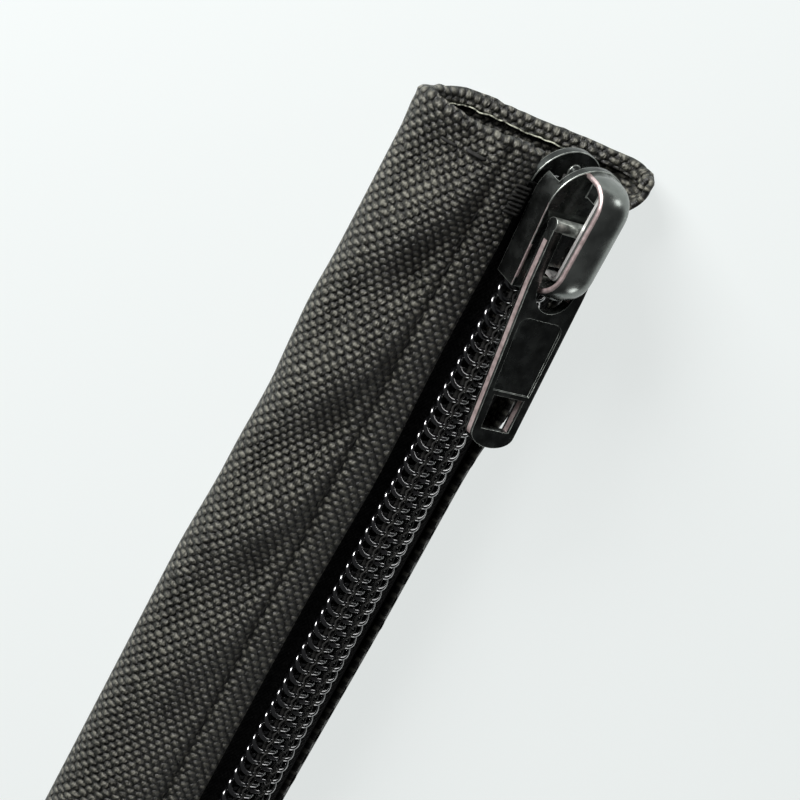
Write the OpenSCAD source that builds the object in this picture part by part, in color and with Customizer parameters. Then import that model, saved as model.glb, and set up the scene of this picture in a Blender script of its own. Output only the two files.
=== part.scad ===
// Zippered cable sleeve: a woven strip folded into a flat tube and closed by a coil zipper.
// Millimetres, +Z up. The sleeve lies on its back panel along Y with the mouth at +Y.
// The zipper runs along the +X side, and the slider stands at the mouth, with the chain closed.

/* [Sleeve] */
// length from the mouth rim to the foot rim
sleeve_length = 250; // [120:10:900]
// thickness of the woven fabric
fabric = 0.7; // [0.4:0.05:1.2]
// how far the fold reaches to the left of the origin
fold_reach = 12.5; // [10:0.5:24]
// radius of the soft fold between the front and back panels, at mid fabric
fold_radius = 1.9; // [1.2:0.1:4]
// radius of the rise from the flat of the back panel to the fold, at mid fabric
rise_radius = 7; // [4:0.5:7.5]
// where the flat of the back panel ends on the fold side
flat_left = 4.5; // [2:0.5:6]
// radius of the bend from the back panel up to the zipper, at mid fabric
back_bend = 1.6; // [1.2:0.1:2.4]
// width of the turned-under edge of the front panel
edge_hem = 6; // [3:0.5:8]
// width of the turned-in hem at the mouth and at the foot
end_hem = 5; // [3:0.5:9]
// how far the back panel stands up past the right tape's turn
wall_over = 0.6; // [0.3:0.1:1]

/* [Zipper tape] */
// thickness of the tape
tape = 0.5; // [0.3:0.05:0.8]
// slope of the zipper's plane, down towards the back panel
zip_tilt = 25; // [15:1:35]
// distance of the zipper's middle from the origin
zip_x = 6.35; // [5:0.05:9]
// height of the zipper's middle, at the top of the tape
zip_z = 6.6; // [6:0.1:9]
// distance of each tape's inner edge from the zipper's middle
tape_inner = 0.9; // [0.8:0.05:1.2]
// where the left tape bends to lie under the front panel
tape_bend_left = 4.6; // [4.4:0.1:5.5]
// where the right tape bends to lie under the back panel
tape_bend_right = 4.2; // [4:0.1:5]
// radius of the left tape's bend
tape_radius_left = 2; // [1:0.1:3]
// radius of the right tape's bend
tape_radius_right = 1.2; // [0.8:0.1:2]
// angle that the right tape is turned down by
tape_turn = 45; // [30:1:50]
// width of tape sewn under the front panel
tape_under_front = 5; // [3:0.5:7]
// width of tape sewn under the back panel
tape_under_back = 1.6; // [1:0.1:2]
// gap between cloth layers that lie on each other
layer_gap = 0.05; // [0.02:0.01:0.1]

/* [Coil chain] */
// distance from one turn of a coil to the next
coil_pitch = 1.5; // [1.3:0.05:2]
// diameter of the monofilament
coil_wire = 0.6; // [0.4:0.02:0.62]
// how much thinner the monofilament is drawn where it is bent
wire_draw = 0.04; // [0.02:0.01:0.06]
// height of a coil over its legs
coil_height = 1.9; // [1.7:0.05:2.2]
// width of the closed chain
chain_width = 6; // [5.4:0.1:6.4]
// how far each coil's heads reach past the middle
head_reach = 0.7; // [0.4:0.05:0.8]
// distance of the coils' ends from the rims
coil_inset = 1.5; // [1:0.1:4]
// gap between a coil and its tape
coil_gap = 0.05; // [0.02:0.01:0.1]
// diameter of the filler cord inside a coil
core_d = 0.6; // [0.3:0.02:0.64]
// diameter of the thread that ties a coil down
tie_d = 0.35; // [0.2:0.01:0.4]
// how far the heads part round the slider's post
head_spread = 1.5; // [1.3:0.05:1.7]
// how far the outer loops move out inside the slider
tail_spread = 0.8; // [0.6:0.05:0.9]
// radius of the cords' bends where the coils part
cord_bend = 3; // [2:0.5:5]
// slant of the cords where the coils part
cord_slant = 20; // [14:1:30]

/* [Slider] */
// length of the slider body
slider_length = 14; // [12:0.5:16]
// half width at the tail
slider_tail = 3.75; // [3.6:0.05:4]
// half width at the shoulders
slider_shoulder = 4.5; // [4.4:0.05:4.6]
// where the shoulders lie ahead of the slider's middle
shoulder_at = 2.5; // [1.5:0.1:3.5]
// thickness of the upper plate
upper_plate = 0.9; // [0.7:0.05:1.2]
// thickness of the lower plate
lower_plate = 0.95; // [0.7:0.05:1.1]
// clearance over and under the chain inside the slider
chain_clear = 0.2; // [0.15:0.05:0.3]
// clearance beside the chain inside the slider
side_clear = 0.15; // [0.1:0.05:0.2]
// height of the flanges' lower edge over the tape
flange_lift = 0.45; // [0.35:0.05:0.7]
// half width of the post between the two coils
post_half = 0.65; // [0.5:0.05:0.66]
// distance of the slider's nose from the mouth rim
nose_inset = 0.2; // [0:0.1:3]
// where the coils begin to part, behind the slider's middle
throat_tail = 4.2; // [3.5:0.1:5]
// where the coils are fully parted, ahead of the slider's middle
throat_nose = 2.4; // [1.8:0.1:3]
// where the post begins, ahead of the slider's middle
post_tip = 1.4; // [1:0.1:2]
// middle of the post's round end, ahead of the slider's middle
post_end = 4.6; // [3.6:0.1:4.8]
// how far the lower plate's edge lies inside the upper plate's
lower_inset = 0.25; // [0:0.05:0.5]

/* [Crown and spring] */
// thickness of the crown's sheet
crown_sheet = 0.6; // [0.4:0.05:0.8]
// width of the crown
crown_width = 3.8; // [3:0.1:4]
// height of the crown over the upper plate, at mid sheet
crown_rise = 3.8; // [3.4:0.1:4.4]
// bend of the crown at the nose, at mid sheet
crown_nose_r = 2.4; // [1.4:0.1:3]
// bend of the crown at the tail, at mid sheet
crown_tail_r = 3.2; // [1.4:0.1:3.3]
// distance of the crown's feet from the ends of the body, at mid sheet
crown_inset = 0.8; // [0.7:0.05:1.2]
// length of the lug that the lock spring lies on
lug_length = 1.6; // [1:0.1:2.2]
// thickness of the lock spring
spring_sheet = 0.35; // [0.2:0.05:0.4]
// width of the lock spring
spring_width = 1.4; // [1:0.1:1.6]
// bend from the spring's leaf to its prong, at mid sheet
spring_bend = 0.6; // [0.4:0.05:0.8]
// where the prong stands behind the slider's middle
prong_at = 4.1; // [3.4:0.1:4.2]
// free room round the prong in the upper plate
prong_room = 0.4; // [0.3:0.05:0.5]
// gap between the prong and the coils when locked
prong_gap = 0.1; // [0.05:0.05:0.2]

/* [Pull tab] */
// thickness of the tab
tab_thick = 1.2; // [1:0.1:1.5]
// distance from the bar to the far end of the tab
tab_length = 23.5; // [22.5:0.1:28]
// half width of the tab at its eye
tab_eye_half = 3.6; // [3.4:0.1:4.4]
// half width of the tab at its far end
tab_end_half = 2.7; // [2.2:0.1:3.4]
// length of the tab's rounded end
tab_round = 1.5; // [0.8:0.1:2]
// radius of the bar
bar_radius = 0.75; // [0.6:0.05:0.8]
// where the bar stands ahead of the slider's middle
bar_at = 0.6; // [0:0.1:0.8]
// gap between the bar and what it lies on
bar_gap = 0.1; // [0.05:0.05:0.2]
// half width of the eye
eye_half = 2.4; // [2.3:0.05:2.6]
// distance from the bar to the far end of the eye
eye_length = 8.7; // [8.4:0.1:9.2]
// width of the solid bridge between the eye and the grip
tab_bridge = 0.9; // [0.7:0.1:2]
// length of the recessed grip
grip_length = 7.9; // [5:0.1:8.5]
// depth of the recess on each face
grip_depth = 0.3; // [0.1:0.05:0.4]
// width of the rim beside the grip
tab_rim = 0.6; // [0.5:0.05:1.1]
// radius of the grip's upper corners
grip_corner = 1; // [0.4:0.1:1.6]
// width of the bar between the grip and the slot
slot_bar = 0.5; // [0.4:0.1:1]
// length of the slot near the tab's end
slot_length = 3.6; // [2:0.1:4]
// width of the rim beside the slot
slot_rim = 0.95; // [0.7:0.05:1.2]
// how far the tab is lifted from the zipper's plane at rest
tab_lift = 9; // [2:1:20]
// how far the tab hangs askew on its bar at rest
tab_sway = 2; // [0:0.5:2.5]

/* [Thread] */
// diameter of the sewing thread
thread_d = 0.4; // [0.2:0.02:0.5]
// length of one stitch
stitch = 2.3; // [1.5:0.1:3]
// distance from one stitch to the next
stitch_pitch = 3; // [2:0.1:4]
// distance of the front seam from the panel's edge
seam_in = 4; // [2:0.1:5]
// distance of the back seam from the panel's edge
seam_in_back = 1.1; // [0.8:0.1:1.6]
// distance of the hem rows from the rims
hem_in = 3.5; // [2:0.1:6]
// gap between a stitch and the cloth
thread_gap = 0.02; // [0.01:0.01:0.05]
// length of a bartack across its seam
bartack_across = 2; // [1.4:0.1:3]
// distance from one pass of a bartack to the next
bartack_pitch = 0.48; // [0.42:0.02:0.8]
// distance of the mouth's bartack from the front panel's edge
bartack_in = 1.5; // [1.2:0.1:4]
// number of passes in a bartack
bartack_passes = 7; // [4:1:12]

/* [Hidden] */
$fa = 6;
$fs = 0.2;

// the zipper's plane
tc = cos(zip_tilt);
ts = sin(zip_tilt);
function zip_point(u, w) = [zip_x + u * tc + w * ts, zip_z - u * ts + w * tc];

// the left tape rises to the front panel and is then level
left_start = zip_point(-tape_bend_left, -tape / 2);
left_level = [left_start[0] - tape_radius_left * ts, left_start[1] + tape_radius_left * (1 - tc)];
left_run = tape_bend_left - tape_inner;

// the front panel lies on the left tape, with its edge turned under
under_mid = left_level[1] + tape / 2 + layer_gap + fabric / 2;
front_mid = under_mid + fabric + layer_gap;
front_top = front_mid + fabric / 2;
edge_turn = (fabric + layer_gap) / 2;
front_edge = left_start[0];
front_end = front_edge - edge_turn - fabric / 2;
hem_step = fabric - 2 * layer_gap;

// the back panel's flat, its rise to the fold and the fold, as two arcs and their common tangent
floor_mid = fabric / 2;
fold_x = -fold_reach + fabric / 2 + fold_radius;
fold_z = front_mid - fold_radius;
rise_dx = -fold_x - flat_left;
rise_dz = rise_radius + floor_mid - fold_z;
rise_far = norm([rise_dx, rise_dz]);
rise_angle = atan2(rise_dx, rise_dz) - acos((rise_radius - fold_radius) / rise_far);
rise_run = rise_dx * cos(rise_angle) - rise_dz * sin(rise_angle);

// the right tape turns down, and the back panel comes up outside it
wall_slope = zip_tilt + tape_turn;
right_start = zip_point(tape_bend_right, -tape / 2);
right_turned = [right_start[0] + tape_radius_right * (sin(wall_slope) - ts),
    right_start[1] + tape_radius_right * (cos(wall_slope) - tc)];
wall_off = tape / 2 + layer_gap + fabric / 2;
wall_at = [right_turned[0] + wall_off * sin(wall_slope), right_turned[1] + wall_off * cos(wall_slope)];
bend_top = floor_mid + back_bend * (1 + cos(wall_slope));
bend_x = wall_at[0] + (wall_at[1] - bend_top) / tan(wall_slope) - back_bend * sin(wall_slope);
wall_run = (wall_at[1] - bend_top) / sin(wall_slope) + wall_over;
wall_edge = [wall_at[0] - wall_over * cos(wall_slope), wall_at[1] + wall_over * sin(wall_slope)];

// the coils
coil_mid = coil_gap + coil_height / 2;
leg = (coil_height - coil_wire) / 2;
loop_radius = norm([coil_pitch / 2, leg]);
loop_lean = atan2(coil_pitch / 2, leg);
tail_at = chain_width / 2 - loop_radius - coil_wire / 2;
head_at = leg + coil_wire / 2 - head_reach;
coil_from = -sleeve_length / 2 + coil_inset;
turns = floor((sleeve_length - 2 * coil_inset) / coil_pitch) - 1;
tie_top = coil_gap + coil_height + thread_gap + tie_d;

// the slider at rest, and its throat
slider_at = sleeve_length / 2 - nose_inset - slider_length / 2;
function ease(t) = t <= 0 ? 0 : t >= 1 ? 1 : t * t * (3 - 2 * t);
function throat(v) = ease((v - slider_at + throat_tail) / (throat_nose + throat_tail));
function micron(x) = round(1000 * x) / 1000;
function head_u(v) = micron(head_at + head_spread * throat(v));
function tail_u(v) = micron(tail_at + tail_spread * throat(v));
roof = tie_top + chain_clear;
plate_top = roof + upper_plate;
lower_top = -tape - chain_clear;
cord_mid = (head_at + tail_at) / 2;
cord_shift = (head_spread + tail_spread) / 2;
cord_rise = cord_shift - 2 * cord_bend * (1 - cos(cord_slant));
cord_slope = cord_rise / sin(cord_slant);
cord_span = 2 * cord_bend * sin(cord_slant) + cord_slope * cos(cord_slant);
cord_from = slider_at + (throat_nose - throat_tail - cord_span) / 2;

// the crown, the spring and the bar
crown_mid = plate_top + crown_rise;
crown_nose = slider_length / 2 - crown_inset;
bar_mid = plate_top + bar_gap + bar_radius;
spring_low = bar_mid + bar_radius + bar_gap;
spring_mid = spring_low + spring_sheet / 2;
spring_rise = max(0, spring_low + spring_sheet + bar_gap - crown_mid + crown_nose_r);
spring_front = crown_nose - crown_nose_r - 2 * bar_gap
    + sqrt(pow(crown_nose_r - crown_sheet / 2, 2) - pow(spring_rise, 2));
prong_tip = coil_gap + coil_height + prong_gap;

// walks a list of moves in the XY plane from the origin along +X, and sweeps a profile along it
// a move is ["run", length], ["left", radius, angle] or ["right", radius, angle]
// a second profile, where there is one, is swept round the bends
module walk(moves, i = 0) {
    if (i < len(moves)) {
        m = moves[i];
        if (m[0] == "run") {
            rotate([90, 0, 90]) linear_extrude(m[1]) children(0);
            translate([m[1], 0, 0]) walk(moves, i + 1) { children(0); children($children - 1); }
        }
        if (m[0] == "left") {
            translate([0, m[1], 0]) {
                rotate([0, 0, -90]) rotate_extrude(angle = m[2]) translate([m[1], 0]) children($children - 1);
                rotate([0, 0, m[2]]) translate([0, -m[1], 0])
                    walk(moves, i + 1) { children(0); children($children - 1); }
            }
        }
        if (m[0] == "right") {
            translate([0, -m[1], 0]) {
                mirror([0, 1, 0]) rotate([0, 0, -90]) rotate_extrude(angle = m[2])
                    translate([m[1], 0]) children($children - 1);
                rotate([0, 0, -m[2]]) translate([0, m[1], 0])
                    walk(moves, i + 1) { children(0); children($children - 1); }
            }
        }
    }
}

// the same moves as a strip of cloth across the sleeve, from a start point and a heading
// bends are drawn in chords of at most cloth_step degrees
cloth_step = 7.5;
function ahead(h) = [cos(h), sin(h)];
function aside(h) = [-sin(h), cos(h)];
function bend_side(m) = m[0] == "left" ? 1 : -1;
function after(m, p, h) = m[0] == "run" ? p + m[1] * ahead(h)
    : p + m[1] * bend_side(m) * (aside(h) - aside(h + bend_side(m) * m[2]));
function turned(m, h) = m[0] == "run" ? h : h + bend_side(m) * m[2];
function chords(m) = m[0] == "run" ? 1 : ceil(m[2] / cloth_step);
function part_of(m, f) = m[0] == "run" ? [m[0], f * m[1]] : [m[0], m[1], f * m[2]];
function trail(moves, p, h, i = 0) = i == len(moves) ? [[p, h]] :
    concat([for (k = [0 : chords(moves[i]) - 1])
        [after(part_of(moves[i], k / chords(moves[i])), p, h),
            turned(part_of(moves[i], k / chords(moves[i])), h)]],
        trail(moves, after(moves[i], p, h), turned(moves[i], h), i + 1));
function reversed(list) = [for (i = [len(list) - 1 : -1 : 0]) list[i]];
module cloth(moves, wall, span, start, heading = 0) {
    line = trail(moves, start, heading);
    rotate([90, 0, 0]) linear_extrude(span, center = true)
        polygon(concat([for (q = line) q[0] + wall / 2 * aside(q[1])],
            reversed([for (q = line) q[0] - wall / 2 * aside(q[1])])));
}

// the zipper's own axes: u across it, v along +Y, w outwards
module on_zip() {
    translate([zip_x, 0, zip_z]) rotate([0, zip_tilt, 0]) children();
}

// the slider's place on the zipper
module on_slider() {
    on_zip() translate([0, slider_at, 0]) children();
}

// the moves from the middle of the back panel over the fold to the front panel
function panel_moves(inset, rest) = concat([["run", flat_left],
    ["right", rise_radius - inset, rise_angle], ["run", rise_run],
    ["right", fold_radius - inset, 180 - rise_angle]], rest);

module sleeve_panel() color("dimgray") {
    cloth(panel_moves(0, [["run", front_end - fold_x], ["right", edge_turn, 180], ["run", edge_hem]]),
        fabric, sleeve_length, [0, floor_mid], 180);
    cloth([["run", flat_left + bend_x], ["left", back_bend, 180 - wall_slope], ["run", wall_run]],
        fabric, sleeve_length, [-flat_left, floor_mid]);
    for (end = [-1, 1]) {
        translate([0, end * (sleeve_length - end_hem) / 2, 0]) {
            cloth(panel_moves(hem_step, [["run", front_end - edge_hem - hem_step - fold_x]]),
                fabric, end_hem, [0, floor_mid + hem_step], 180);
            cloth([["run", flat_left + bend_x - back_bend]], fabric, end_hem,
                [-flat_left, floor_mid + hem_step]);
        }
    }
}

module zipper_tape_left() color("black") on_zip()
    cloth([["run", left_run], ["left", tape_radius_left, zip_tilt], ["run", tape_under_front]],
        tape, sleeve_length, [-tape_inner, -tape / 2], 180);

module zipper_tape_right() color("black") on_zip()
    cloth([["run", tape_bend_right - tape_inner], ["right", tape_radius_right, tape_turn],
        ["run", tape_under_back]], tape, sleeve_length, [tape_inner, -tape / 2]);

// a straight length of monofilament across the coil
module coil_leg(from, to, v, w) {
    translate([from, v, w]) rotate([0, 90, 0]) cylinder(d = coil_wire, h = to - from);
}

// one turn of the right coil: lower leg, head, upper leg and the loop down to the next turn
module coil_turn(v, last) {
    before = tail_u(v - coil_pitch);
    here = tail_u(v);
    coil_leg(head_u(v), before, v, coil_mid - leg);
    translate([head_u(v), v, coil_mid]) rotate([90, 0, 0]) rotate([0, 0, 90])
        rotate_extrude(angle = 180) translate([leg, 0]) circle(d = coil_wire - wire_draw);
    coil_leg(head_u(v), here, v, coil_mid + leg);
    if (!last) {
        translate([here, v + coil_pitch / 2, coil_mid]) rotate([loop_lean, 0, 0]) rotate([90, 0, 0])
            rotate([0, 0, -90]) rotate_extrude(angle = 180) translate([loop_radius, 0])
                circle(d = coil_wire - wire_draw);
    }
}

// a whole coil on the +u side
module coil(shift) {
    for (k = [0 : turns - 1]) {
        coil_turn(coil_from + shift + k * coil_pitch, k == turns - 1);
    }
}

module zipper_coil_left() color("black") on_zip() mirror([1, 0, 0]) coil(coil_pitch / 2);

module zipper_coil_right() color("black") on_zip() coil(0);

// a cord that follows a coil and parts with it inside the slider
module coil_cord(d, w) {
    translate([cord_mid, -sleeve_length / 2 + coil_inset, w]) rotate([0, 0, 90])
        walk([["run", cord_from + sleeve_length / 2 - coil_inset], ["right", cord_bend, cord_slant],
            ["run", cord_slope], ["left", cord_bend, cord_slant],
            ["run", sleeve_length / 2 - coil_inset - cord_from - cord_span]]) {
            circle(d = d);
            circle(d = d - wire_draw);
        }
}

module coil_core_left() color("gray") on_zip() mirror([1, 0, 0]) coil_cord(core_d, coil_mid);

module coil_core_right() color("gray") on_zip() coil_cord(core_d, coil_mid);

module coil_stitch_left() color("darkslategray") on_zip() mirror([1, 0, 0])
    coil_cord(tie_d, tie_top - tie_d / 2);

module coil_stitch_right() color("darkslategray") on_zip() coil_cord(tie_d, tie_top - tie_d / 2);

// a row of stitches along +X from the origin, lying on z = 0
module stitch_row(length) {
    count = floor((length + stitch_pitch - stitch) / stitch_pitch);
    gap = (length - count * stitch_pitch + stitch_pitch - stitch) / 2;
    for (i = [0 : count - 1]) {
        translate([gap + i * stitch_pitch, 0, thread_gap + thread_d / 2]) rotate([0, 90, 0])
            cylinder(d = thread_d, h = stitch);
    }
}

// short passes side by side along +X, each lying across the seam on z = 0
module bartack() {
    for (i = [0 : bartack_passes - 1]) {
        translate([i * bartack_pitch, 0, thread_gap + thread_d / 2]) rotate([90, 0, 0])
            cylinder(d = thread_d, h = bartack_across, center = true);
    }
}

// the outside of the front panel, at the distance in from its edge, with X along the sleeve
module on_front(in, y) {
    translate([front_edge - in, y, front_top]) rotate([0, 0, 90]) children();
}

// the outside of the back panel's wall, at the distance in from its edge, with X along the sleeve
module on_back(in, y) {
    translate([wall_edge[0] + in * cos(wall_slope), y, wall_edge[1] - in * sin(wall_slope)])
        rotate([0, wall_slope, 0]) translate([0, 0, fabric / 2]) rotate([0, 0, 90]) children();
}

bartack_long = (bartack_passes - 1) * bartack_pitch + thread_d;
row_from = -sleeve_length / 2 + end_hem + bartack_long;
row_long = sleeve_length - 2 * end_hem - 2 * bartack_long;

module seam_thread_front() color("darkslategray") on_front(seam_in, row_from) stitch_row(row_long);

module seam_thread_back() color("darkslategray") on_back(seam_in_back, row_from) stitch_row(row_long);

// a hem row runs over the level front panel
module hem_row(y) {
    translate([fold_x, y, front_top]) stitch_row(front_end - fold_x - seam_in - bartack_across);
}

module hem_thread_mouth() color("darkslategray") hem_row(sleeve_length / 2 - hem_in);

module hem_thread_foot() color("darkslategray") hem_row(-sleeve_length / 2 + hem_in);

bartack_at = sleeve_length / 2 - end_hem - bartack_long + thread_d;
module bartack_mouth_front() color("darkslategray") on_front(bartack_in, bartack_at) bartack();

module bartack_mouth_back() color("darkslategray")
    on_back(seam_in_back + bartack_across / 4, bartack_at) bartack();

module bartack_foot() color("darkslategray")
    on_front(seam_in, -sleeve_length / 2 + end_hem) bartack();

// the slider's outline in plan: straight sides that widen to the shoulders and a round nose
function nose_arc(half, at, long) =
    [for (a = [0 : 7.5 : 180]) [half * cos(a), at + long * sin(a)]];
module slider_outline(trim) {
    polygon(concat([[-slider_tail + trim, -slider_length / 2 + trim],
        [slider_tail - trim, -slider_length / 2 + trim]],
        nose_arc(slider_shoulder - trim, shoulder_at, slider_length / 2 - trim - shoulder_at)));
}

// the throat's outline: as wide as the coils and the clearance beside them
throat_step = slider_length / 20;
function throat_side(side) =
    [for (i = [-12 : 12]) [side * (chain_width / 2 + side_clear
        + tail_spread * throat(slider_at + i * throat_step)), i * throat_step]];
module throat_outline() {
    polygon(concat(throat_side(1), reversed(throat_side(-1))));
}

// the post's outline: a wedge that parts the coils
module post_outline() {
    polygon([[-post_half / 3, post_tip], [post_half / 3, post_tip], [post_half, post_end],
        [-post_half, post_end]]);
    translate([0, post_end]) circle(r = post_half);
}

module slider_body() color("silver") on_slider() {
    difference() {
        translate([0, 0, flange_lift]) linear_extrude(plate_top - flange_lift) slider_outline(0);
        translate([0, 0, flange_lift - 1]) linear_extrude(roof - flange_lift + 1) throat_outline();
        translate([-spring_width / 2 - prong_room, -prong_at - spring_bend - spring_sheet / 2 - prong_room])
            cube([spring_width + 2 * prong_room, spring_sheet + 2 * prong_room, plate_top + 1]);
    }
    translate([0, 0, lower_top - lower_plate]) linear_extrude(lower_plate) slider_outline(lower_inset);
    translate([0, 0, lower_top - lower_plate / 2])
        linear_extrude(roof - lower_top + lower_plate / 2 + upper_plate / 2) post_outline();
    translate([-spring_width / 2, spring_front - lug_length, plate_top - upper_plate / 2])
        cube([spring_width, lug_length, spring_low - bar_gap - plate_top + upper_plate / 2]);
}

module slider_crown() color("silver") on_slider()
    translate([0, crown_nose, plate_top]) rotate([90, 0, 90]) rotate([0, 0, 90])
        walk([["run", crown_rise - crown_nose_r], ["left", crown_nose_r, 90],
            ["run", 2 * crown_nose - crown_nose_r - crown_tail_r], ["left", crown_tail_r, 90],
            ["run", crown_rise - crown_tail_r]])
            square([crown_sheet, crown_width], center = true);

module lock_spring() color("gainsboro") on_slider()
    translate([0, spring_front, spring_mid]) rotate([90, 0, 90]) rotate([0, 0, 180])
        walk([["run", spring_front + prong_at], ["left", spring_bend, 90],
            ["run", spring_mid - spring_bend - prong_tip]])
            square([spring_sheet, spring_width], center = true);

// the tab's outline along -Y from the bar, narrowing from the eye to a round end
tab_neck = eye_length - eye_half;
module tab_outline() {
    polygon(concat([[tab_eye_half, 0], [-tab_eye_half, 0], [-tab_eye_half, -tab_neck]],
        [for (a = [0 : 10 : 180]) [-tab_end_half * cos(a),
            -tab_length + tab_round * (1 - sin(a))]],
        [[tab_eye_half, -tab_neck]]));
}

// half width of the tab at a distance from the bar, past the eye
function tab_half(t) = tab_eye_half
    + (tab_end_half - tab_eye_half) * (t - tab_neck) / (tab_length - tab_round - tab_neck);

// the eye, open to the bar and round at its far end
module eye_outline() {
    translate([-eye_half, -tab_neck]) square([2 * eye_half, tab_neck + bar_radius]);
    translate([0, -tab_neck]) circle(r = eye_half);
}

grip_from = eye_length + tab_bridge;
grip_to = grip_from + grip_length;
slot_from = grip_to + slot_bar;
slot_to = slot_from + slot_length;
// the slot's outline, its rim's width inside the tab
module slot_outline() {
    polygon([[-tab_half(slot_from) + slot_rim, -slot_from], [tab_half(slot_from) - slot_rim, -slot_from],
        [tab_half(slot_to) - slot_rim, -slot_to], [-tab_half(slot_to) + slot_rim, -slot_to]]);
}

// the grip's outline, its rim's width inside the tab and round at its upper corners
grip_turn = grip_from + grip_corner;
grip_side = tab_half(grip_turn) - tab_rim - grip_corner;
function grip_arc(x, from) =
    [for (a = [from : 15 : from + 90]) [x + grip_corner * cos(a), -grip_turn + grip_corner * sin(a)]];
module grip_outline() {
    polygon(concat(grip_arc(grip_side, 0), grip_arc(-grip_side, 90),
        [[-tab_half(grip_to) + tab_rim, -grip_to], [tab_half(grip_to) - tab_rim, -grip_to]]));
}

module pull_tab() color("silver") on_slider() translate([0, bar_at, bar_mid])
    rotate([0, 0, -tab_sway]) rotate([-tab_lift, 0, 0]) {
        difference() {
            translate([0, 0, -tab_thick / 2]) linear_extrude(tab_thick) tab_outline();
            translate([0, 0, -tab_thick]) linear_extrude(2 * tab_thick) eye_outline();
            for (face = [-1, 1]) {
                translate([0, 0, face * (tab_thick - grip_depth)])
                    translate([0, 0, -tab_thick / 2]) linear_extrude(tab_thick) grip_outline();
            }
            translate([0, 0, -tab_thick]) linear_extrude(2 * tab_thick) slot_outline();
        }
        rotate([0, 90, 0]) cylinder(r = bar_radius, h = 2 * tab_eye_half, center = true);
    }

sleeve_panel();
zipper_tape_left();
zipper_tape_right();
zipper_coil_left();
zipper_coil_right();
coil_core_left();
coil_core_right();
coil_stitch_left();
coil_stitch_right();
seam_thread_front();
seam_thread_back();
hem_thread_mouth();
hem_thread_foot();
bartack_mouth_front();
bartack_mouth_back();
bartack_foot();
slider_body();
slider_crown();
lock_spring();
pull_tab();
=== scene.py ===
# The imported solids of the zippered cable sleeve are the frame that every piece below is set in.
import math
import bmesh
import bpy
from mathutils import Matrix, Vector, noise


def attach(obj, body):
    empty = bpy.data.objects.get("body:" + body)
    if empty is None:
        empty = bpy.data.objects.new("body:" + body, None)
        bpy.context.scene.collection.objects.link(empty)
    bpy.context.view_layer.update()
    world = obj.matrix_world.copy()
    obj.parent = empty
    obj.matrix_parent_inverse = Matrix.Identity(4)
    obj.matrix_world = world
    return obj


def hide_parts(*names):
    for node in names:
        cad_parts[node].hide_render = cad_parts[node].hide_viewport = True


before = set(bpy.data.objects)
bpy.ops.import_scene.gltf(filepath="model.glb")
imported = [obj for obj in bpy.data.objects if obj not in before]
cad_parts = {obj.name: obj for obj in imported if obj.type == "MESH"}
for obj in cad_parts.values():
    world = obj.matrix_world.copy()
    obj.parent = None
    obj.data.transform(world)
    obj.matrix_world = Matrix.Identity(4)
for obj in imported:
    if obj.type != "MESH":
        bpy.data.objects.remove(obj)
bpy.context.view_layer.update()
mm = 0.001

# The woven sleeve: one strip of coarse black polyester cloth, folded lengthwise into a flat tube.
# Its front edge is turned under to take the zipper tape, and both ends are turned in and hemmed.
# It is built as a line of cloth across the sleeve, drawn out along Y and then eased into soft waves.
sleeve_long = 250 * mm
rim_y = sleeve_long / 2
cloth_thick = 0.62 * mm
wall_x, wall_z, wall_lean = 11.077 * mm, 4.707 * mm, 70
fold_end, seam_across, front_end = 35.09 * mm, 43.41 * mm, 46.69 * mm


def face_right(vert, layer, heading):
    """Keeps the direction of the strip's right side, which is the inside of the sleeve."""
    vert[layer["in_x"]] = math.sin(math.radians(heading))
    vert[layer["in_z"]] = -math.cos(math.radians(heading))


def inside_of(vert, layer):
    """The direction from a point of the strip to the inside of the sleeve."""
    return Vector((vert[layer["in_x"]], 0, vert[layer["in_z"]]))


def new_strip(start_x, start_z, heading):
    """A strip's first point at the foot, and its layers: the way across, along, and its right side."""
    bm = bmesh.new()
    layer = {name: bm.verts.layers.float.new(name) for name in ("across", "along", "in_x", "in_z")}
    tip = bmesh.ops.create_vert(bm, co=(start_x, -rim_y, start_z))["vert"][0]
    face_right(tip, layer, heading)
    tip[layer["along"]] = -rim_y
    return bm, layer, tip, heading


def run_on(bm, layer, tip, heading, length, steps):
    """Carries the line of cloth straight on."""
    way = Vector((math.cos(math.radians(heading)), 0, math.sin(math.radians(heading))))
    for _ in range(steps):
        fresh = bmesh.ops.extrude_vert_indiv(bm, verts=[tip])["verts"][0]
        bmesh.ops.translate(bm, verts=[fresh], vec=way * (length / steps))
        fresh[layer["across"]] = tip[layer["across"]] + length / steps
        face_right(fresh, layer, heading)
        tip = fresh
    return tip, heading


def bend_on(bm, layer, tip, heading, radius, angle, steps):
    """Carries the line of cloth round a bend, to the right where the angle is positive."""
    side = 1 if angle > 0 else -1
    right = Vector((math.sin(math.radians(heading)), 0, -math.cos(math.radians(heading))))
    centre = tip.co + right * radius * side
    turn = Matrix.Rotation(math.radians(angle / steps), 3, "Y")
    for _ in range(steps):
        fresh = bmesh.ops.extrude_vert_indiv(bm, verts=[tip])["verts"][0]
        bmesh.ops.rotate(bm, verts=[fresh], cent=centre, matrix=turn)
        heading -= angle / steps
        fresh[layer["across"]] = tip[layer["across"]] + math.radians(abs(angle) / steps) * radius
        face_right(fresh, layer, heading)
        tip = fresh
    return tip, heading


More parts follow.
